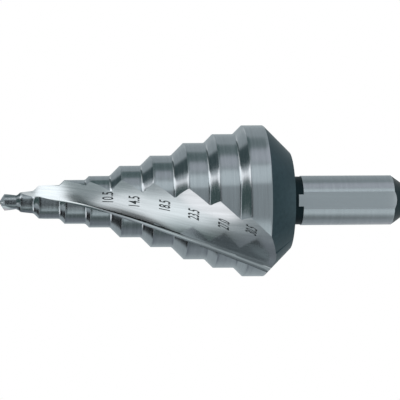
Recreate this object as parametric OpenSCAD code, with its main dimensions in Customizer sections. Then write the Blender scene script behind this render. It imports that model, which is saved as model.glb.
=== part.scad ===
// Step drill for sheet metal: nine steps on a cone, two right-hand helical flutes
// that run out behind the largest step, a turned neck and a shank with three flats.
// Sizes are in millimetres. The axis is Z, the shank end is at z = 0, the point is up.
// The front is -Y. A turn is an angle round the axis from the front towards +X.
// A depth is a distance from the point, measured back along the axis.

/* [Point and pilot] */
// Diameter of the pilot behind the point
pilot_d = 3.3; // [3:0.1:4]
// Included angle of the point
point_angle = 108; // [100:1:125]
// Depth at which the pilot ends
pilot_depth = 3.5; // [3:0.1:5]

/* [Steps] */
// Diameter of step 1, the smallest
step_1_d = 5; // [4.6:0.1:5.6]
// Diameter of step 2
step_2_d = 7; // [6.4:0.1:7.6]
// Diameter of step 3
step_3_d = 9; // [8.4:0.1:9.6]
// Diameter of step 4
step_4_d = 10.5; // [10:0.1:11.4]
// Diameter of step 5
step_5_d = 14.5; // [13.5:0.1:15.5]
// Diameter of step 6
step_6_d = 18.5; // [17.5:0.1:19.5]
// Diameter of step 7
step_7_d = 23.5; // [22:0.1:24.5]
// Diameter of step 8
step_8_d = 27; // [26:0.1:28]
// Diameter of step 9, the largest
step_9_d = 30.5; // [29.5:0.1:32]
// Length of the straight part of step 1
first_step_len = 2.6; // [2.2:0.1:4]
// Length of the straight part of each other step
step_len = 4.15; // [3.9:0.05:4.5]
// Angle between a step's chamfer and the axis
chamfer_angle = 45; // [42:1:50]

/* [Back and neck] */
// Angle between the cone behind the largest step and the axis
back_angle = 45; // [40:1:55]
// Diameter at which that cone ends, at the neck
back_end_d = 19.7; // [16:0.1:22]
// Diameter of the neck
neck_d = 9.7; // [9.5:0.1:9.9]
// Length of the neck
neck_len = 2.4; // [2:0.1:5]

/* [Shank] */
// Diameter of the round shank
shank_d = 10; // [9.98:0.01:10.02]
// Length of the shank with its end chamfer
shank_len = 20.5; // [18:0.5:30]
// Distance from the axis to each of the three flats
flat_distance = 4.7; // [4.65:0.01:4.75]
// Length of each flat beyond the shank, cut into the neck
flat_runout = 1; // [0.5:0.1:1.5]
// Length of the chamfer on the shank end
end_chamfer_len = 2; // [1:0.1:2.5]
// Diameter of the shank's end face
end_face_d = 7.1; // [6.5:0.1:8.5]
// Diameter of the centre hole's mouth in the end face
centre_d = 2.4; // [1.5:0.1:3]

/* [Flutes] */
// Number of flutes
flute_count = 2; // [2:1:2]
// Length over which the flute floor makes one full turn
floor_lead = 200; // [180:5:240]
// Turn of the flute floor at the back edge of the largest step
floor_turn_back = -58; // [-64:1:-52]
// Extra turn that the floor has at the point
floor_turn_point = 65; // [55:1:75]
// Length in which that extra turn fades
floor_fade = 3.1; // [2.5:0.1:4]
// Depth of the floor's middle below the largest step at its back edge
floor_sink_back = 2.25; // [1.8:0.05:2.8]
// Thickness of the web between the two floors at the point
web_point = 0.9; // [0.8:0.1:1.2]
// Depth at which the web starts to thicken
web_depth = 5.4; // [4:0.1:7]
// Turn of the rake face at the point
rake_turn_point = 80; // [70:1:85]
// Length in which the turn of the rake face fades
rake_fade = 5; // [4:0.1:6]
// Sideways fall of the rake face for each unit of length behind its bend
rake_slope = 0.41; // [0.38:0.005:0.42]
// Depth at which the rake face bends away from the axis
rake_bend_depth = 15.5; // [14:0.1:17]
// Softness of that bend, as a length
rake_bend_len = 12; // [9:0.5:14]
// How far the rake face would lie ahead of the axis without the bend
rake_ahead = 1.5; // [1.2:0.05:1.7]
// Root radius between floor and rake face
root_r = 0.8; // [0.6:0.05:1]
// Root radius at the point
root_r_point = 0.25; // [0.2:0.05:0.4]

/* [Hidden] */

step_d = [step_1_d, step_2_d, step_3_d, step_4_d, step_5_d, step_6_d, step_7_d, step_8_d, step_9_d];
last = len(step_d) - 1;
facets_round = 144;

point_len = pilot_d / 2 / tan(point_angle / 2);
back_depth = back_of(last);
neck_depth = back_depth + (step_d[last] - back_end_d) / 2 / tan(back_angle);
shank_depth = neck_depth + neck_len;
total_len = shank_depth + shank_len;

flat_count = 3;
flat_step = 360 / flat_count;
centre_cone_angle = 60;
centre_drill_d = centre_d / 2.4;
centre_drill_len = centre_d / 2;

flute_before = 1.5;
flute_after = 4.5;
flute_slices = 72;
slice_crowding = 1.25;
floor_spans = 4;
root_spans = 6;
reach_point = 4;
reach_growth = 0.36;
root_fade = 6;
cut_margin = 1;

// Depth of the front and the back edge of step i's straight part
function chamfer_len(i) = (step_d[i] - (i == 0 ? pilot_d : step_d[i - 1])) / 2 / tan(chamfer_angle);
function front_of(i) = (i == 0 ? pilot_depth : back_of(i - 1)) + chamfer_len(i);
function back_of(i) = front_of(i) + (i == 0 ? first_step_len : step_len);

// Unit vectors outwards at a turn, and sideways from it in the sense of growing turn
function outward(turn) = [sin(turn), -cos(turn)];
function sideways(turn) = [cos(turn), sin(turn)];

// How the floor and the rake face lie at a depth
function floor_turn(depth) =
    floor_turn_back + 360 * (back_depth - depth) / floor_lead + floor_turn_point * exp(-depth / floor_fade);
web_growth = (step_d[last] / 2 - floor_sink_back) / (back_depth - web_depth);
function floor_distance(depth) = norm([web_point / 2, web_growth * max(0, depth - web_depth)]);
function rake_turn(depth) = rake_turn_point * exp(-depth / rake_fade);
function rake_offset(depth) =
    let (beyond = depth - rake_bend_depth)
    rake_ahead - rake_slope * (beyond + norm([beyond, rake_bend_len])) / 2;
function root_radius(depth) = root_r - (root_r - root_r_point) * exp(-depth / root_fade);

// Outline of the flute at a depth: floor, rounded root, rake face and a corner outside the body
function flute_outline(depth) =
    let (
        floor_at = floor_turn(depth),
        rake_at = rake_turn(depth),
        lean = floor_at - rake_at,
        along = (rake_offset(depth) - floor_distance(depth) * sin(lean)) / cos(lean),
        root = floor_distance(depth) * outward(floor_at) + along * sideways(floor_at),
        opening = 90 + lean,
        r = root_radius(depth),
        tangent = r / tan(opening / 2),
        reach = reach_point + reach_growth * max(0, depth),
        floor_end = root + reach * sideways(floor_at),
        floor_start = root + tangent * sideways(floor_at),
        centre = floor_start + r * outward(floor_at)
    )
    [
        for (k = [0:floor_spans - 1]) floor_end + (floor_start - floor_end) * k / floor_spans,
        for (k = [0:root_spans]) centre - r * outward(floor_at + (180 - opening) * k / root_spans),
        root + reach * outward(rake_at),
        root + reach * outward(rake_at) + reach * sideways(floor_at)
    ];

// Cutter for one flute: outlines stacked from above the point to behind the largest step
module flute_cutter() {
    run = flute_before + back_depth + flute_after;
    depths = [for (i = [0:flute_slices]) run * pow(i / flute_slices, slice_crowding) - flute_before];
    size = len(flute_outline(0));
    points = [for (depth = depths, p = flute_outline(depth)) [p[0], p[1], total_len - depth]];
    upper_cap = [for (j = [size - 1:-1:0]) j];
    lower_cap = [for (j = [0:size - 1]) flute_slices * size + j];
    sides = [
        for (i = [0:flute_slices - 1], j = [0:size - 1])
            let (a = i * size + j, b = i * size + (j + 1) % size)
            each [[a, b, b + size], [a, b + size, a + size]]
    ];
    polyhedron(points = points, faces = concat([upper_cap], sides, [lower_cap]));
}

// Half outline of the turned blank, from the shank end up to the point
function blank_outline() =
    [
        [0, 0],
        [end_face_d / 2, 0],
        [shank_d / 2, end_chamfer_len],
        [shank_d / 2, total_len - shank_depth],
        [neck_d / 2, total_len - shank_depth],
        [neck_d / 2, total_len - neck_depth],
        [back_end_d / 2, total_len - neck_depth],
        for (i = [last:-1:0]) each [
            [step_d[i] / 2, total_len - back_of(i)],
            [step_d[i] / 2, total_len - front_of(i)],
            [(i == 0 ? pilot_d : step_d[i - 1]) / 2, total_len - front_of(i) + chamfer_len(i)]
        ],
        [pilot_d / 2, total_len - point_len],
        [0, total_len]
    ];

module shank_flats() {
    for (i = [0:flat_count - 1])
        rotate([0, 0, i * flat_step - 90])
            translate([flat_distance, -shank_d / 2, -cut_margin])
                cube([shank_d / 2, shank_d, cut_margin + shank_len + flat_runout]);
}

module centre_hole() {
    cone_len = (centre_d - centre_drill_d) / 2 / tan(centre_cone_angle / 2);
    cylinder(h = cone_len, d1 = centre_d, d2 = centre_drill_d, $fn = facets_round);
    translate([0, 0, -cut_margin])
        cylinder(h = cut_margin + cone_len + centre_drill_len, d = centre_drill_d, $fn = facets_round);
}

module step_drill() {
    color([0.62, 0.64, 0.66])
        difference() {
            rotate_extrude($fn = facets_round) polygon(blank_outline());
            for (i = [0:flute_count - 1]) rotate([0, 0, i * 360 / flute_count]) flute_cutter();
            shank_flats();
            centre_hole();
        }
}

step_drill();
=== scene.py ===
import math
from typing import NamedTuple

import bmesh
import bpy
from bpy.props import FloatProperty, FloatVectorProperty, PointerProperty
from mathutils import Euler, Matrix, Vector


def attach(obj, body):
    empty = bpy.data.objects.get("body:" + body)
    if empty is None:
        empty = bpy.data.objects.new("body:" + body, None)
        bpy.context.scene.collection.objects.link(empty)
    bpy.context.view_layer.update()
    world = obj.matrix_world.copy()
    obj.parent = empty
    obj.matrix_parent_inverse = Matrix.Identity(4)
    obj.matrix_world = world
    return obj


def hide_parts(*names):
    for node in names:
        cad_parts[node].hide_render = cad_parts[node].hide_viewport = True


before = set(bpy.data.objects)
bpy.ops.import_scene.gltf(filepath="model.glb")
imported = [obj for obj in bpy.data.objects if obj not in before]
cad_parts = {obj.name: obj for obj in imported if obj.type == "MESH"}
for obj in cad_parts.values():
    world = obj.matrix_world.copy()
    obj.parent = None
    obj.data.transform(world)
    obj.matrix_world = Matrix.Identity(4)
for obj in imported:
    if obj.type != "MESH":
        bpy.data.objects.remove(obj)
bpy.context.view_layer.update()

bl_info = {
    "name": "Step drill",
    "version": (1, 0, 0),
    "blender": (4, 5, 0),
    "location": "View3D > Sidebar > Step drill",
    "description": "A step drill for sheet metal with its size marks, in a white light tent",
    "category": "Add Mesh",
}

MM = 0.001

# Order of the finishes in the drill's material slots
LANDS, FLUTES, SHANK, BACK_CONE, FLATS, OXIDE_WITH_PAINTED_SHADE = range(6)

# Fineness of the meshes: spans round the axis and over each radius, and the width in millimetres
# of the rings on the steps
TURN_SPANS = 480
CORNER_SPANS, EDGE_SPANS, BACK_EDGE_SPANS = 6, 2, 3
RING_WIDTH = 0.6
FLOOR_SPANS, ROOT_SPANS, RAKE_SPANS = 10, 10, 6
FLUTE_SLICES, SLICE_CROWDING = 360, 1.25
# Edges that turn by more than this stay sharp
SHARP_ANGLE = math.radians(24)
# Vertices closer than this are one, in millimetres, and closer still in the flutes' cutter
MERGE_DIST = 1e-4
FLUTE_MERGE_DIST = 1e-5
# A face belongs to the neck up to this far outside it, in millimetres
NECK_MARGIN = 0.01

# Fixed sizes, as in the part's source. Lengths are in millimetres
# Length in which the root radius grows from its size at the point
ROOT_FADE = 6
# Reach of the flutes' cutter past the root at the point, and its growth for each unit of depth
REACH_AT_POINT, REACH_GROWTH = 4, 0.36
# Length of that cutter before the point and behind the largest step
FLUTE_BEFORE, FLUTE_AFTER = 1.5, 4.5
FLAT_COUNT = 3
# How far the flats' cutter stands past the shank end
CUT_MARGIN = 1
# Diameter of the centre hole's mouth over that of its drilled part, and angle of its cone
CENTRE_RATIO = 2.4
CENTRE_CONE_ANGLE = math.radians(60)


def linear(hex_colour):
    """An sRGB hex colour as linear red, green and blue."""
    parts = [int(hex_colour[i:i + 2], 16) / 255 for i in (1, 3, 5)]
    return tuple(c / 12.92 if c <= 0.04045 else ((c + 0.055) / 1.055) ** 2.4 for c in parts)


def length(name, description, millimetres):
    """A size property in Blender's metres with its default given in millimetres."""
    return FloatProperty(
        name=name, description=description, default=millimetres * MM, unit="LENGTH", precision=5
    )


def degrees(name, description, value):
    """An angle property with its default given in degrees."""
    return FloatProperty(
        name=name, description=description, default=math.radians(value), subtype="ANGLE"
    )


def ratio(name, description, value):
    """A property without a unit."""
    return FloatProperty(name=name, description=description, default=value)


def colour(name, description, hex_colour):
    """A colour property with its default given as sRGB hex."""
    return FloatVectorProperty(
        name=name, description=description, default=linear(hex_colour),
        subtype="COLOR", size=3, min=0, max=1,
    )


class StepDrillSizes(bpy.types.PropertyGroup):
    """Sizes of the turned blank. Down to the centre hole they are as in the part's source."""

    pilot_d: length("Pilot", "Diameter of the pilot behind the point", 3.3)
    pilot_depth: length("Pilot depth", "Depth at which the pilot ends", 3.5)
    point_angle: degrees("Point angle", "Included angle of the point", 108)
    step_d: FloatVectorProperty(
        name="Steps",
        description="Diameters of the nine steps, smallest first",
        default=[d * MM for d in (5, 7, 9, 10.5, 14.5, 18.5, 23.5, 27, 30.5)],
        size=9,
        unit="LENGTH",
        precision=5,
    )
    first_step_len: length("First step length", "Length of the straight part of step 1", 2.6)
    step_len: length("Step length", "Length of the straight part of each other step", 4.15)
    chamfer_angle: degrees("Chamfer angle", "Angle between a step's chamfer and the axis", 45)
    back_angle: degrees("Back angle", "Angle between the cone behind the steps and the axis", 45)
    back_end_d: length("Back cone end", "Diameter at which the back cone ends", 19.7)
    neck_d: length("Neck", "Diameter of the neck", 9.7)
    neck_len: length("Neck length", "Length of the neck", 2.4)
    shank_d: length("Shank", "Diameter of the round shank", 10)
    shank_len: length("Shank length", "Length of the shank with its end chamfer", 20.5)
    flat_distance: length("Flat distance", "Distance from the axis to each of the three flats", 4.7)
    flat_runout: length("Flat run-out", "Length of each flat beyond the shank", 1)
    end_chamfer_len: length("End chamfer", "Length of the chamfer on the shank end", 2)
    end_face_d: length("End face", "Diameter of the shank's end face", 7.1)
    centre_d: length("Centre hole", "Diameter of the centre hole's mouth", 2.4)
    corner_r: length("Corner radius", "Radius the grinding wheel leaves in front of each step", 0.7)
    edge_r: length("Edge radius", "Radius on the steps' outer edges", 0.05)
    back_edge_r: length("Back edge radius", "Radius on the back edge of the largest step", 0.3)
    land_relief: length("Relief", "Fall of the lands for each degree behind the edge", 0.0015)


class StepDrillFlutes(bpy.types.PropertyGroup):
    """Sizes of the two flutes, as in the part's source."""

    floor_lead: length("Lead", "Length over which the flute floor makes one full turn", 200)
    floor_turn_back: degrees("Turn at the back", "Turn of the floor behind the largest step", -58)
    floor_turn_point: degrees("Extra turn", "Extra turn that the floor has at the point", 65)
    floor_fade: length("Fade of the turn", "Length in which the extra turn fades", 3.1)
    floor_sink_back: length("Sink", "Depth of the floor below the largest step's back edge", 2.25)
    web_point: length("Web", "Thickness of the web at the point", 0.9)
    web_depth: length("Web depth", "Depth at which the web starts to thicken", 5.4)
    rake_turn_point: degrees("Rake turn", "Turn of the rake face at the point", 80)
    rake_fade: length("Rake fade", "Length in which the turn of the rake face fades", 5)
    rake_slope: ratio("Rake slope", "Sideways fall of the rake face for each unit of length", 0.41)
    rake_bend_depth: length("Rake bend depth", "Depth at which the rake face bends away", 15.5)
    rake_bend_len: length("Rake bend", "Softness of that bend", 12)
    rake_ahead: length("Rake ahead", "How far the rake face would lie ahead without the bend", 1.5)
    root_r: length("Root radius", "Radius between floor and rake face", 0.8)
    root_r_point: length("Root radius at the point", "The same radius at the point", 0.25)


class StepDrillMarks(bpy.types.PropertyGroup):
    """Form of the digits that name the steps' sizes."""

    digit_height: length("Type size", "Size of the type that the digits are set in", 3)
    digit_weight: length("Weight", "How much wider than the type's the strokes are", 0.04)
    digit_rise: length("Rise", "How far the digits stand out of the floor", 0.01)
    digit_width: ratio("Width", "Width of the digits, as a part of the type's", 0.45)
    digit_slant: ratio("Slant", "Sideways lean of the digits for each unit of height", 0.12)


class StepDrillFinish(bpy.types.PropertyGroup):
    """Colours of the finishes."""

    ground_steel: colour("Ground steel", "High-speed steel, ground bright", "#B1B5B9")
    flute_steel: colour("Flute steel", "High-speed steel ground along the flutes", "#BCBFC1")
    flat_steel: colour("Flat steel", "High-speed steel on the shank's flats", "#C6CACE")
    oxide: colour("Oxide", "Blue-grey oxide left by hardening behind the steps", "#42545A")
    # Oxide with painted shade: darkened nearly to black on the neck and the shank end
    dark_oxide_and_painted_shade: colour("Dark oxide", "Nearly black oxide on the neck and the shank end", "#243135")
    mark: colour("Size marks", "Dark marks burnt into the steel by a laser", "#4A4E50")


class StepDrillStudio(bpy.types.PropertyGroup):
    """The floor, and the camera as it stood for the photograph."""

    floor_r: length("Floor radius", "Radius of the pale floor under the shank end", 10)
    sensor: ratio("Sensor", "Width of the camera's sensor, in millimetres", 36)
    lens: ratio("Lens", "Focal length of the camera, in millimetres", 179.1)
    distance: length("Distance", "Distance from the camera to the point it looks at", 400)
    aim_side: length("Aim to the side", "How far right of the axis the camera looks", 0.22)
    aim_height: length("Aim height", "Height at which the camera looks", 40.87)
    pitch: degrees("Pitch", "Angle by which the camera looks down on the drill", 6.28)
    roll: degrees("Roll", "Turn of the camera about its own view", -0.36)


class Form:
    """The drill's sizes in millimetres, with what follows from them. A depth is measured back from
    the point, and a turn is an angle round the axis from the front, -Y, towards +X."""

    def __init__(self, scene):
        for group in (scene.step_drill_sizes, scene.step_drill_flutes, scene.step_drill_marks):
            for name, prop in group.bl_rna.properties.items():
                if prop.type != "FLOAT":
                    continue
                value = getattr(group, name)
                scale = 1 / MM if prop.unit == "LENGTH" else 1
                value = [v * scale for v in value] if prop.is_array else value * scale
                setattr(self, name, value)
        self.front, self.back = [], []
        before, depth = self.pilot_d, self.pilot_depth
        for i, d in enumerate(self.step_d):
            depth += (d - before) / 2 / math.tan(self.chamfer_angle)
            self.front.append(depth)
            depth += self.step_len if i else self.first_step_len
            self.back.append(depth)
            before = d
        largest = self.step_d[-1]
        self.back_depth = depth
        self.neck_depth = depth + (largest - self.back_end_d) / 2 / math.tan(self.back_angle)
        self.shank_depth = self.neck_depth + self.neck_len
        self.total = self.shank_depth + self.shank_len
        self.web_growth = (largest / 2 - self.floor_sink_back) / (self.back_depth - self.web_depth)

    def floor_turn(self, depth):
        """Turn that the flute floor faces."""
        steady = self.floor_turn_back + math.tau * (self.back_depth - depth) / self.floor_lead
        return steady + self.floor_turn_point * math.exp(-depth / self.floor_fade)

    def floor_distance(self, depth):
        """Distance from the axis to the flute floor."""
        return math.hypot(self.web_point / 2, self.web_growth * max(0.0, depth - self.web_depth))

    def rake_turn(self, depth):
        """Turn along which the rake face rises."""
        return self.rake_turn_point * math.exp(-depth / self.rake_fade)

    def rake_offset(self, depth):
        """How far the rake face lies ahead of the axis."""
        beyond = depth - self.rake_bend_depth
        bend = beyond + math.hypot(beyond, self.rake_bend_len)
        return self.rake_ahead - self.rake_slope * bend / 2

    def root_radius(self, depth):
        """Radius between floor and rake face."""
        return self.root_r - (self.root_r - self.root_r_point) * math.exp(-depth / ROOT_FADE)

    def edge_turn(self, depth, radius):
        """Turn at which the cutting edge stands at a radius."""
        lead = math.asin(max(-1.0, min(1.0, self.rake_offset(depth) / radius)))
        return self.rake_turn(depth) + lead

    def root(self, depth):
        """Where floor and rake face would meet without the root radius."""
        floor_at, away = self.floor_turn(depth), self.floor_distance(depth)
        lean = floor_at - self.rake_turn(depth)
        along = (self.rake_offset(depth) - away * math.sin(lean)) / math.cos(lean)
        return away * outward(floor_at) + along * sideways(floor_at)

    def flute_outline(self, depth):
        """The flute at a depth: floor, rounded root, rake face and a corner outside the body."""
        floor_at, rake_at = self.floor_turn(depth), self.rake_turn(depth)
        lean = floor_at - rake_at
        side, up, rake_up = sideways(floor_at), outward(floor_at), outward(rake_at)
        root = self.root(depth)
        opening = math.pi / 2 + lean
        r = self.root_radius(depth)
        reach = REACH_AT_POINT + REACH_GROWTH * max(0.0, depth)
        start = root + r / math.tan(opening / 2) * side
        centre = start + r * up
        floor = [(root + reach * side).lerp(start, k / FLOOR_SPANS) for k in range(FLOOR_SPANS)]
        fillet = [
            centre - r * outward(floor_at + (math.pi - opening) * k / ROOT_SPANS)
            for k in range(ROOT_SPANS + 1)
        ]
        rake_end = root + reach * rake_up
        rake = [fillet[-1].lerp(rake_end, k / RAKE_SPANS) for k in range(1, RAKE_SPANS + 1)]
        return floor + fillet + rake + [rake_end + reach * side]


def outward(turn):
    """Unit vector away from the axis at a turn."""
    return Vector((math.sin(turn), -math.cos(turn)))


def sideways(turn):
    """Unit vector round the axis at a turn."""
    return Vector((math.cos(turn), math.sin(turn)))


def make_object(bm, name, materials=()):
    """An object from a bmesh drawn in millimetres."""
    bmesh.ops.scale(bm, vec=(MM, MM, MM), verts=bm.verts)
    mesh = bpy.data.meshes.new(name)
    bm.to_mesh(mesh)
    bm.free()
    for material in materials:
        mesh.materials.append(material)
    obj = bpy.data.objects.new(name, mesh)
    bpy.context.scene.collection.objects.link(obj)
    return obj


def cut_away(obj, cutters):
    """Takes the cutters' solids out of the object's own mesh, and removes the cutters."""
    for cutter in cutters:
        modifier = obj.modifiers.new(cutter.name, "BOOLEAN")
        modifier.operation = "DIFFERENCE"
        modifier.solver = "EXACT"
        modifier.object = cutter
    graph = bpy.context.evaluated_depsgraph_get()
    made = bpy.data.meshes.new_from_object(obj.evaluated_get(graph))
    obj.modifiers.clear()
    old, name = obj.data, obj.data.name
    obj.data = made
    bpy.data.meshes.remove(old)
    made.name = name
    for cutter in cutters:
        bpy.data.objects.remove(cutter)


def add_node(tree, kind, settings):
    """Adds a node and sets its properties and its inputs. An input is called by its name or number,
    and takes a value or the socket of another node."""
    node = tree.nodes.new(kind)
    for key, value in settings.items():
        if isinstance(key, str) and hasattr(node, key):
            setattr(node, key, value)
        elif isinstance(value, bpy.types.NodeSocket):
            tree.links.new(value, node.inputs[key])
        else:
            node.inputs[key].default_value = value
    return node


def new_material(name):
    """An empty node material and its tree."""
    old = bpy.data.materials.get(name)
    if old:
        bpy.data.materials.remove(old)
    material = bpy.data.materials.new(name)
    material.use_nodes = True
    material.node_tree.nodes.clear()
    return material, material.node_tree


class Grain(NamedTuple):
    """One kind of mark in a surface: its scale along x, y and z in 1/mm, its height in mm, and how
    much it changes roughness and tone."""

    scale: tuple
    height: float
    roughness: float
    tone: float = 0.0


def vary(tree, middle, noises, swings):
    """A value that swings about its middle with each noise."""
    total = middle - sum(swings) / 2
    for noise, swing in zip(noises, swings):
        if swing:
            settings = {"operation": "MULTIPLY_ADD", 0: noise, 1: swing, 2: total}
            total = add_node(tree, "ShaderNodeMath", settings).outputs[0]
    return total


def steel(name, base, roughness, grains, anisotropy=0.0, across=0.25, uv_map=""):
    """Steel with the marks that grinding, hardening or a laser leaves. They follow the UV map, or
    the object's own axes. across turns the wide side of the gloss off the tangent, in full
    turns."""
    material, tree = new_material(name)
    if uv_map:
        place = add_node(tree, "ShaderNodeUVMap", {"uv_map": uv_map}).outputs[0]
        along = {"direction_type": "UV_MAP", "uv_map": uv_map}
    else:
        place = add_node(tree, "ShaderNodeTexCoord", {}).outputs["Object"]
        along = {"direction_type": "RADIAL", "axis": "Z"}
    tangent = add_node(tree, "ShaderNodeTangent", along).outputs[0]
    noises = []
    for grain in grains:
        settings = {"Vector": place, "Scale": [s / MM for s in grain.scale]}
        spread = add_node(tree, "ShaderNodeMapping", settings).outputs[0]
        settings = {"Vector": spread, "Scale": 1.0, "Detail": 3.0, "Roughness": 0.6}
        noises.append(add_node(tree, "ShaderNodeTexNoise", settings).outputs["Fac"])
    height = vary(tree, 0.0, noises, [grain.height for grain in grains])
    rough = vary(tree, roughness, noises, [grain.roughness for grain in grains])
    tone = vary(tree, 1.0, noises, [2 * grain.tone for grain in grains])
    bump = add_node(tree, "ShaderNodeBump", {"Strength": 1.0, "Distance": MM, "Height": height})
    tint = add_node(tree, "ShaderNodeVectorMath", {"operation": "SCALE", 0: base, "Scale": tone})
    shader = add_node(tree, "ShaderNodeBsdfPrincipled", {
        "Base Color": tint.outputs[0],
        "Metallic": 1.0,
        "Roughness": rough,
        "Normal": bump.outputs[0],
        "Tangent": tangent,
        "Anisotropic": anisotropy,
        "Anisotropic Rotation": across,
    })
    add_node(tree, "ShaderNodeOutputMaterial", {"Surface": shader.outputs[0]})
    return material


def drill_materials(finish):
    """The drill's finishes, in the order of the material slots."""
    # Ground round the axis: fine rings break the mirror into soft bands that run along the drill.
    # The coarse rings are drawn about five times wider than the wheel's real marks, so that they
    # still show from a distance
    lands = steel(
        "ground_steel_lands", finish.ground_steel, roughness=0.19, anisotropy=0.65,
        grains=[Grain((0.1, 0.1, 12), 0.0006, 0.06), Grain((0.1, 0.1, 2.5), 0.003, 0.08, 0.16)],
    )
    # Ground along the helix: the brightest faces, with long streaks from end to end of the flute,
    # which are also drawn coarser than life
    flutes = steel(
        "ground_steel_flutes", finish.flute_steel, roughness=0.17, anisotropy=0.45,
        across=0.0, uv_map="along_flute",
        grains=[Grain((8, 0.1, 0), 0.0006, 0.06), Grain((2, 0.06, 0), 0.005, 0.08, 0.3)],
    )
    # Ground round the axis like the lands, but with a coarser wheel: duller, with broad soft
    # highlights
    shank = steel(
        "ground_steel_shank", finish.ground_steel, roughness=0.24, anisotropy=0.6,
        grains=[Grain((0.1, 0.1, 10), 0.0006, 0.05), Grain((0.1, 0.1, 2.5), 0.002, 0.05, 0.12)],
    )
    # Face-ground and even: each flat takes one plain grey from the light in front of it
    flats = steel(
        "ground_steel_flats", finish.flat_steel, roughness=0.3,
        grains=[Grain((4, 4, 4), 0.0005, 0.05, 0.05)],
    )
    # The skin that hardening leaves where nothing is ground afterwards: blue-grey, dull and
    # slightly blotched
    blotches = [Grain((1.2, 1.2, 1.2), 0.004, 0.1, 0.3)]
    oxide = steel("hardening_oxide", finish.oxide, roughness=0.4, grains=blotches)
    # The same oxide skin on the neck and the shank end, with painted shade that darkens it nearly
    # to black, so that they set off the bright shank
    dark = steel("hardening_oxide_dark", finish.dark_oxide_and_painted_shade, roughness=0.5, grains=blotches)
    by_slot = {
        LANDS: lands, FLUTES: flutes, SHANK: shank, BACK_CONE: oxide, FLATS: flats, OXIDE_WITH_PAINTED_SHADE: dark,
    }
    return [by_slot[slot] for slot in sorted(by_slot)]


def blank_outline(form):
    """Half outline of the blank, from the centre hole round the shank up to the point, and the
    numbers of its corners in front of the steps, on their outer edges and at the back edge."""
    def at(r, depth):
        return (r, 0, form.total - depth)

    end = form.total
    drill_r = form.centre_d / CENTRE_RATIO / 2
    cone_end = end - (form.centre_d / 2 - drill_r) / math.tan(CENTRE_CONE_ANGLE / 2)
    drill_end = cone_end - form.centre_d / 2
    outline = [
        at(0, drill_end),
        at(drill_r, drill_end),
        at(drill_r, cone_end),
        at(form.centre_d / 2, end),
        at(form.end_face_d / 2, end),
        at(form.shank_d / 2, end - form.end_chamfer_len),
        at(form.shank_d / 2, form.shank_depth),
        at(form.neck_d / 2, form.shank_depth),
        at(form.neck_d / 2, form.neck_depth),
        at(form.back_end_d / 2, form.neck_depth),
        at(form.step_d[-1] / 2, form.back_depth),
    ]
    back_edge = len(outline) - 1
    outer, inner = [], []
    for i in reversed(range(len(form.step_d))):
        outer.append(len(outline))
        outline.append(at(form.step_d[i] / 2, form.front[i]))
        if i:
            inner.append(len(outline))
            outline.append(at(form.step_d[i - 1] / 2, form.back[i - 1]))
    point_len = form.pilot_d / 2 / math.tan(form.point_angle / 2)
    outline += [at(form.pilot_d / 2, form.pilot_depth), at(form.pilot_d / 2, point_len), at(0, 0)]
    return outline, inner, outer, [back_edge]


def zone(form, centre):
    """The finish of a face of the blank, told by its centre."""
    r, depth = math.hypot(centre.x, centre.y), form.total - centre.z
    above_neck = r > form.neck_d / 2 + NECK_MARGIN
    if depth < form.back_depth:
        return LANDS
    if above_neck and depth < form.neck_depth:
        return BACK_CONE
    if above_neck and form.shank_depth < depth < form.total - form.end_chamfer_len:
        return SHANK
    # The neck and the shank end take the oxide that painted shade darkens nearly to black
    return OXIDE_WITH_PAINTED_SHADE


def turned_blank(form, materials):
    """The blank as it leaves the lathe and the cylindrical grinder, turned from its outline."""
    outline, inner, outer, back_edge = blank_outline(form)
    bm = bmesh.new()
    verts = [bm.verts.new(p) for p in outline]
    for a, b in zip(verts, verts[1:]):
        bm.edges.new((a, b))
    # The wheel leaves a radius in front of each step, and the outer edges are just broken
    for corners, radius, bend, segments in (
        (inner, form.corner_r, form.chamfer_angle, CORNER_SPANS),
        (outer, form.edge_r, form.chamfer_angle, EDGE_SPANS),
        (back_edge, form.back_edge_r, form.back_angle, BACK_EDGE_SPANS),
    ):
        bmesh.ops.bevel(
            bm, geom=[verts[i] for i in corners], offset=radius * math.tan(bend / 2),
            offset_type="OFFSET", segments=segments, profile=0.5, affect="VERTICES", material=-1,
        )
    # The relief needs rings on the steps, from the point to the back edge's radius
    foot = form.total - form.back_depth - form.back_edge_r
    for edge in bm.edges[:]:
        cuts = int(edge.calc_length() / RING_WIDTH)
        if cuts and min(v.co.z for v in edge.verts) > foot:
            bmesh.ops.subdivide_edges(bm, edges=[edge], cuts=cuts)
    bmesh.ops.spin(
        bm, geom=bm.verts[:] + bm.edges[:], cent=(0, 0, 0), axis=(0, 0, 1),
        angle=math.tau, steps=TURN_SPANS, use_merge=True,
    )
    bmesh.ops.remove_doubles(bm, verts=bm.verts, dist=MERGE_DIST)
    bmesh.ops.recalc_face_normals(bm, faces=bm.faces)
    for face in bm.faces:
        face.material_index = zone(form, face.calc_center_median())
    relieve_lands(bm, form)
    return make_object(bm, "step_drill_ground", materials)


def relieve_lands(bm, form):
    """Lets the lands fall away behind the two cutting edges, as the relief grinding does."""
    # The jump from heel to edge lies inside the flute, this far ahead of the cutting edge
    jump = math.radians(20)
    # The radius of the back edge ends just behind it, in millimetres
    last_depth = form.back_depth + 0.1
    # Closer to the axis than this, in millimetres, there is no land, only the point
    core_r = 0.2
    # The most that a land may fall, as a share of its distance from the axis
    most = 0.3
    for v in bm.verts:
        depth = form.total - v.co.z
        r = math.hypot(v.co.x, v.co.y)
        if depth > last_depth or r < core_r:
            continue
        turn = math.atan2(v.co.x, -v.co.y)
        lag = (form.edge_turn(depth, r) - turn + jump) % math.pi - jump
        fall = min(form.land_relief * math.degrees(lag), most * r)
        share = (r - fall) / r
        v.co.x *= share
        v.co.y *= share


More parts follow.
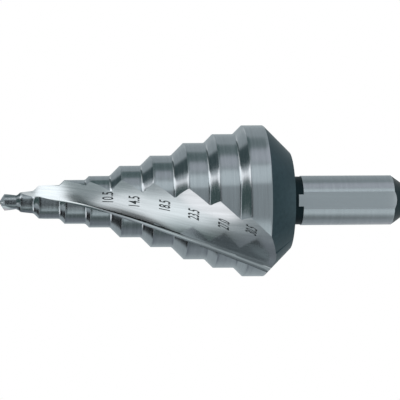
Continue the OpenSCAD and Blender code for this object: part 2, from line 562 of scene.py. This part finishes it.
def flute_cutter(form, materials):
    """What the grinding wheel takes out of the blank, for both flutes."""
    run = FLUTE_BEFORE + form.back_depth + FLUTE_AFTER
    around = FLOOR_SPANS + ROOT_SPANS + RAKE_SPANS + 2
    bm = bmesh.new()
    grid = bmesh.ops.create_grid(bm, x_segments=around, y_segments=FLUTE_SLICES, size=1)["verts"]
    for i in range(FLUTE_SLICES + 1):
        depth = run * (i / FLUTE_SLICES) ** SLICE_CROWDING - FLUTE_BEFORE
        ring = form.flute_outline(depth)
        for j in range(around + 1):
            p = ring[j % around]
            grid[i * (around + 1) + j].co = (p.x, p.y, form.total - depth)
    bmesh.ops.remove_doubles(bm, verts=bm.verts, dist=FLUTE_MERGE_DIST)
    bmesh.ops.holes_fill(bm, edges=[e for e in bm.edges if e.is_boundary], sides=0)
    second = bmesh.ops.duplicate(bm, geom=bm.verts[:] + bm.edges[:] + bm.faces[:])["geom"]
    bmesh.ops.rotate(
        bm, verts=[g for g in second if isinstance(g, bmesh.types.BMVert)],
        cent=(0, 0, 0), matrix=Matrix.Rotation(math.pi, 3, "Z"),
    )
    bmesh.ops.recalc_face_normals(bm, faces=bm.faces)
    for face in bm.faces:
        face.material_index = FLUTES
    return make_object(bm, "flute_cutter", materials)


def flats_cutter(form, materials):
    """What the flats of the shank take away."""
    bm = bmesh.new()
    height = form.shank_len + form.flat_runout + CUT_MARGIN
    middle = (form.flat_distance + form.shank_d / 4, 0, height / 2 - CUT_MARGIN)
    for k in range(FLAT_COUNT):
        turn = math.radians(360 / FLAT_COUNT * k - 90)
        cube = bmesh.ops.create_cube(bm, size=1)["verts"]
        bmesh.ops.scale(bm, vec=(form.shank_d / 2, form.shank_d, height), verts=cube)
        bmesh.ops.translate(bm, vec=middle, verts=cube)
        bmesh.ops.rotate(bm, verts=cube, cent=(0, 0, 0), matrix=Matrix.Rotation(turn, 3, "Z"))
    for face in bm.faces:
        face.material_index = FLATS
    return make_object(bm, "flats_cutter", materials)


def map_flutes(bm, form):
    """Maps the flutes, in metres: u runs across them from the root line, v along them."""
    layer = bm.loops.layers.uv.new("along_flute")
    for face in bm.faces:
        if face.material_index != FLUTES:
            continue
        for loop in face.loops:
            place = loop.vert.co / MM
            depth = form.total - place.z
            floor_at = form.floor_turn(depth)
            p = place.xy if place.xy.dot(outward(floor_at)) > 0 else -place.xy
            p -= form.root(depth)
            u = p.dot(sideways(floor_at)) - p.dot(outward(form.rake_turn(depth)))
            loop[layer].uv = (u * MM, depth * MM)


class STEPDRILL_OT_body(bpy.types.Operator):
    """Turn, flute and grind the drill, in place of its CAD node"""

    bl_idname = "stepdrill.body"
    bl_label = "Drill body"

    def execute(self, context):
        form = Form(context.scene)
        materials = drill_materials(context.scene.step_drill_finish)
        drill = turned_blank(form, materials)
        cut_away(drill, [flute_cutter(form, materials), flats_cutter(form, materials)])
        bm = bmesh.new()
        bm.from_mesh(drill.data)
        bmesh.ops.dissolve_degenerate(bm, dist=MERGE_DIST * MM, edges=bm.edges)
        for face in bm.faces:
            face.smooth = True
        for edge in bm.edges:
            edge.smooth = edge.is_manifold and edge.calc_face_angle(0) < SHARP_ANGLE
        map_flutes(bm, form)
        bm.to_mesh(drill.data)
        bm.free()
        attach(drill, "root")
        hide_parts("step_drill")
        return {"FINISHED"}


# The steps whose size is written in the flute, counted from 0, the depth of the digits' middle,
# and its distance from the middle of the floor, in millimetres
SIZE_MARKS = (
    (3, 21.6, 0.95),
    (4, 26.7, 1.1),
    (5, 32.6, 2.0),
    (6, 38.2, 2.45),
    (7, 44.0, 3.3),
    (8, 49.2, 5.7),
)


class STEPDRILL_OT_size_marks(bpy.types.Operator):
    """Write each step's size on the floor of the front flute"""

    bl_idname = "stepdrill.size_marks"
    bl_label = "Size marks"

    def execute(self, context):
        form = Form(context.scene)
        # Burnt by a laser: matt and darker than anything else in the flute, so that it reads
        material = steel(
            "laser_mark", context.scene.step_drill_finish.mark, roughness=0.55,
            grains=[Grain((8, 8, 8), 0.002, 0.1, 0.3)],
        )
        bm = bmesh.new()
        for step, middle, along in SIZE_MARKS:
            curve = bpy.data.curves.new("digits", "FONT")
            curve.body = f"{form.step_d[step]:.1f}"
            curve.align_x = curve.align_y = "CENTER"
            curve.size = form.digit_height
            curve.offset = form.digit_weight
            curve.extrude = form.digit_rise
            text = bpy.data.objects.new("digits", curve)
            mesh = bpy.data.meshes.new_from_object(text)
            part = bmesh.new()
            part.from_mesh(mesh)
            for v in part.verts:
                depth = middle - v.co.y
                floor_at = form.floor_turn(depth)
                up = form.floor_distance(depth) + v.co.z
                side = along + v.co.x * form.digit_width - v.co.y * form.digit_slant
                p = up * outward(floor_at) + side * sideways(floor_at)
                v.co = (p.x, p.y, form.total - depth)
            part.to_mesh(mesh)
            part.free()
            bm.from_mesh(mesh)
            bpy.data.meshes.remove(mesh)
            bpy.data.objects.remove(text)
            bpy.data.curves.remove(curve)
        bmesh.ops.remove_doubles(bm, verts=bm.verts, dist=MERGE_DIST)
        bmesh.ops.recalc_face_normals(bm, faces=bm.faces)
        marks = make_object(bm, "size_marks", [material])
        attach(marks, "root")
        return {"FINISHED"}


# The light tent's ground and its patches, of which a later one covers an earlier one: turn and
# elevation of the middle, half width, half height and tilt in degrees, softness of the rim from 0
# to 1, colour, and strength
TENT_GROUND = ("#EEFBFF", 0.52)
TENT_PATCHES = (
    ("front upper flag", 4, 41, 43, 7, -2, 0.31, "#EDFCFF", 0.52),
    ("left high flag", -109, 50, 13, 20, 60, 0.23, "#000000", 0),
    ("right high flag", 106, 50, 21, 11, -2, 0.20, "#95B7BC", 0.2),
    ("right flag", 88, 2, 26, 8, 7, 0.13, "#8CA8A8", 0.45),
    ("key", 60, 64, 45, 12, 99, 0.13, "#FDFEFF", 1.91),
    ("right fill", 87, 23, 69, 9, -5, 0.33, "#F9FEFF", 1.03),
    ("left bar", -42, 27, 36, 9, 5, 0.67, "#F7FDFF", 1.62),
    ("front bar", -20, 29, 24, 7, -3, 0.2, "#F8FDFF", 1.5),
    ("left high light", -80, 36, 18, 7, -15, 0.13, "#FDFDFF", 1.61),
    ("left strip", -61, 1, 33, 23, -9, 0.20, "#F0FDFF", 0.95),
    ("right strip", 41, -9, 18, 12, 39, 0.13, "#F0FCFF", 0.96),
    ("low left light", -102, -29, 59, 9, 8, 0.13, "#FFF7FC", 0.81),
    ("low right light", 80, -35, 20, 38, -20, 0.13, "#F1F7FF", 0.74),
    ("top flag", 3, 75, 15, 33, 29, 0.13, "#A8CECB", 0.2),
    ("left flag", -86, 5, 22, 17, 4, 0.4, "#B4C8C8", 0.27),
    ("front flag", -8, 14, 55, 12, -4, 0.13, "#141818", 0.22),
    ("right front flag", 26, 28, 11, 6, 0, 0.2, "#90A4A4", 0.25),
    ("middle flag", 42, 44, 8, 8, -52, 0.13, "#DCFFFB", 0.42),
    ("right middle flag", 104, 29, 27, 14, 44, 0.15, "#90A4A4", 0.4),
    ("left grey flag", -62, 12, 24, 7, 0, 0.4, "#90A4A4", 0.5),
    ("run-out flag", -114, 9, 24, 13, 0, 0.5, "#E8F4FF", 0.29),
    ("corner light", 48, 30, 15, 14, 0, 0.15, "#F8FDFF", 2),
)
# The tent's radius is 1 m, in millimetres, because its patches are ellipsoids on a unit sphere.
# Their depth, in units of that radius, keeps them off the far side
TENT_RADIUS = 1000
PATCH_DEPTH = 0.9

# Grey of the floor in the soft light, and the white that it adds where camera or steel see it
FLOOR_GREY = 0.5
FLOOR_WHITE = 0.9


def glow(hex_colour, strength):
    """The colour of a light, with its strength."""
    return (*[c * strength for c in linear(hex_colour)], 1)


def make_tent():
    """A closed tent round the drill, unseen by the camera, whose patches the steel mirrors."""
    material, tree = new_material("light_tent")
    place = add_node(tree, "ShaderNodeTexCoord", {}).outputs["Object"]
    shade = glow(*TENT_GROUND)
    for name, turn, elevation, width, height, tilt, soft, hex_colour, strength in TENT_PATCHES:
        aim = Euler([math.radians(v) for v in (-elevation, tilt, turn)], "YXZ").to_matrix()
        spot = add_node(tree, "ShaderNodeMapping", {
            "label": name,
            "vector_type": "TEXTURE",
            "Vector": place,
            "Location": aim @ Vector((0, -1, 0)),
            "Rotation": aim.to_euler("XYZ"),
            "Scale": (math.sin(math.radians(width)), PATCH_DEPTH, math.sin(math.radians(height))),
        })
        away = add_node(tree, "ShaderNodeVectorMath", {"operation": "LENGTH", 0: spot.outputs[0]})
        share = add_node(tree, "ShaderNodeMapRange", {
            "interpolation_type": "SMOOTHSTEP",
            "Value": away.outputs["Value"],
            "From Min": 1 + soft,
            "From Max": 1 - soft,
            "To Min": 0.0,
            "To Max": 1.0,
        })
        mix = {"data_type": "RGBA", 0: share.outputs[0], 6: shade, 7: glow(hex_colour, strength)}
        shade = add_node(tree, "ShaderNodeMix", mix).outputs[2]
    light = add_node(tree, "ShaderNodeEmission", {"Color": shade})
    add_node(tree, "ShaderNodeOutputMaterial", {"Surface": light.outputs[0]})
    bm = bmesh.new()
    bmesh.ops.create_uvsphere(bm, u_segments=48, v_segments=24, radius=TENT_RADIUS)
    tent = make_object(bm, "light_tent", [material])
    tent.visible_camera = False


def make_floor(radius):
    """A small pale floor that shows white and keeps the drill's soft shadow."""
    material, tree = new_material("pale_floor")
    matt = add_node(tree, "ShaderNodeBsdfDiffuse", {"Color": (*[FLOOR_GREY] * 3, 1)})
    path = add_node(tree, "ShaderNodeLightPath", {})
    seen = 0.0
    for ray in ("Is Camera Ray", "Is Glossy Ray", "Is Transmission Ray"):
        settings = {"operation": "ADD", "use_clamp": True, 0: seen, 1: path.outputs[ray]}
        seen = add_node(tree, "ShaderNodeMath", settings).outputs[0]
    level = add_node(tree, "ShaderNodeMath", {"operation": "MULTIPLY", 0: seen, 1: FLOOR_WHITE})
    settings = {"Color": (1, 1, 1, 1), "Strength": level.outputs[0]}
    white = add_node(tree, "ShaderNodeEmission", settings)
    both = add_node(tree, "ShaderNodeAddShader", {0: matt.outputs[0], 1: white.outputs[0]})
    add_node(tree, "ShaderNodeOutputMaterial", {"Surface": both.outputs[0]})
    bm = bmesh.new()
    bmesh.ops.create_circle(bm, cap_ends=True, segments=96, radius=radius / MM)
    make_object(bm, "pale_floor", [material])


def make_camera(scene, studio):
    """The photograph's camera: in front, a little above the point, turned so that the point is on
    the left."""
    data = bpy.data.cameras.new("camera")
    data.sensor_width = studio.sensor
    data.lens = studio.lens
    camera = bpy.data.objects.new("camera", data)
    scene.collection.objects.link(camera)
    right = Vector((0, -math.sin(studio.pitch), -math.cos(studio.pitch)))
    up = Vector((1, 0, 0))
    back = right.cross(up)
    turn = Matrix((right, up, back)).transposed().to_4x4()
    roll = Matrix.Rotation(studio.roll, 4, "Z")
    stand = Vector((studio.aim_side, 0, studio.aim_height)) + back * studio.distance
    camera.matrix_world = Matrix.Translation(stand) @ turn @ roll
    scene.camera = camera


class STEPDRILL_OT_studio(bpy.types.Operator):
    """Put up the floor, the light tent, the white world and the camera"""

    bl_idname = "stepdrill.studio"
    bl_label = "Studio"

    def execute(self, context):
        scene = context.scene
        scene.view_settings.view_transform = "Standard"
        world = bpy.data.worlds.new("white_studio")
        scene.world = world
        world.use_nodes = True
        tree = world.node_tree
        tree.nodes.clear()
        light = add_node(tree, "ShaderNodeBackground", {"Color": (1, 1, 1, 1), "Strength": 1.0})
        add_node(tree, "ShaderNodeOutputWorld", {"Surface": light.outputs[0]})
        make_tent()
        make_floor(scene.step_drill_studio.floor_r)
        make_camera(scene, scene.step_drill_studio)
        return {"FINISHED"}


OPERATORS = (STEPDRILL_OT_body, STEPDRILL_OT_size_marks, STEPDRILL_OT_studio)
GROUPS = {
    "step_drill_sizes": StepDrillSizes,
    "step_drill_flutes": StepDrillFlutes,
    "step_drill_marks": StepDrillMarks,
    "step_drill_finish": StepDrillFinish,
    "step_drill_studio": StepDrillStudio,
}


class STEPDRILL_PT_panel(bpy.types.Panel):
    """Sizes, finishes and the steps that build the drill"""

    bl_idname = "STEPDRILL_PT_panel"
    bl_label = "Step drill"
    bl_space_type = "VIEW_3D"
    bl_region_type = "UI"
    bl_category = "Step drill"

    def draw(self, context):
        for group_name in GROUPS:
            group = getattr(context.scene, group_name)
            column = self.layout.column()
            for name in group.__annotations__:
                column.prop(group, name)
        for operator in OPERATORS:
            self.layout.operator(operator.bl_idname)


CLASSES = (*GROUPS.values(), *OPERATORS, STEPDRILL_PT_panel)


def register():
    for cls in CLASSES:
        bpy.utils.register_class(cls)
    for name, group in GROUPS.items():
        setattr(bpy.types.Scene, name, PointerProperty(type=group))


def unregister():
    for name in reversed(GROUPS):
        delattr(bpy.types.Scene, name)
    for cls in reversed(CLASSES):
        bpy.utils.unregister_class(cls)


def main():
    register()
    bpy.ops.stepdrill.body()
    bpy.ops.stepdrill.size_marks()
    bpy.ops.stepdrill.studio()


if __name__ == "__main__":
    main()
